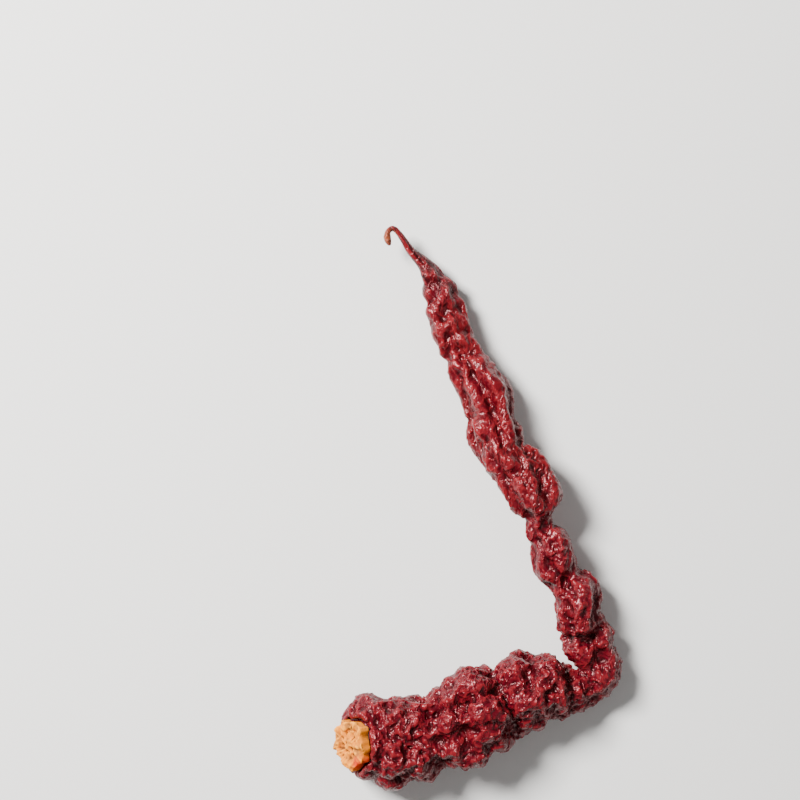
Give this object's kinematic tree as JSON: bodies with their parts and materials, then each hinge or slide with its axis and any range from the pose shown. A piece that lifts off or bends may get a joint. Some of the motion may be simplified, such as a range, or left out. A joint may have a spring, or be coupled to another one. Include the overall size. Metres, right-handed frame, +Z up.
{
  "type": "dried chilli pepper",
  "caption": "Long wrinkled dried red chilli pepper, bent back on itself, with a torn pale stem seat at the thick end and a thin hooked tip.",
  "frame": {"origin": "middle of the bounding box, on the surface that the chilli lies on", "axes": "+Z up, away from that surface; +Y along its longest extent, towards the hooked tip; +X towards the side that it bends out to"},
  "size_m": [0.0554, 0.1076, 0.0151],
  "materials": {
    "skin": "waxy dried fruit skin, deep red, glossy on its wrinkles",
    "seat": "matt corky fibre, cream to tan"
  },
  "bodies": {
    "root": {"pod": "skin", "stem_seat": "seat"}
  },
  "joints": []
}
